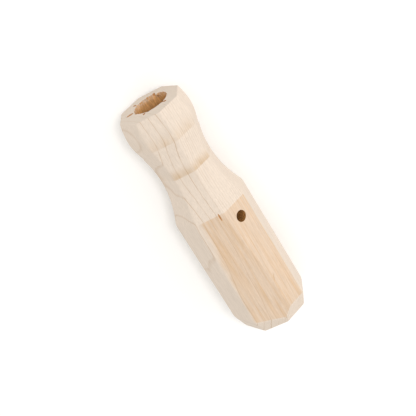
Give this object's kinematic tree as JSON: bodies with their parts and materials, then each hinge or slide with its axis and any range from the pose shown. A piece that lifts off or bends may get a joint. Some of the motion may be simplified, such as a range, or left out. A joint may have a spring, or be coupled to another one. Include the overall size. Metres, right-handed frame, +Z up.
{
  "type": "muddler handle",
  "caption": "Octagonal bare-wood muddler grip with a flared, bored head, a waisted neck, a chamfered tail and a cross pin hole.",
  "frame": {"origin": "under the middle of the length, on the surface that the grip lies on", "axes": "+X along the grip towards the bored head, +Z up from the flat that it lies on; the pin hole enters the flat that faces between -Y and +Z"},
  "size_m": [0.1334, 0.0382, 0.0381],
  "materials": {
    "maple": "bare, unfinished hard maple, sawn and hand-shaved, no varnish or oil"
  },
  "bodies": {
    "root": {"grip": "maple"}
  },
  "joints": []
}
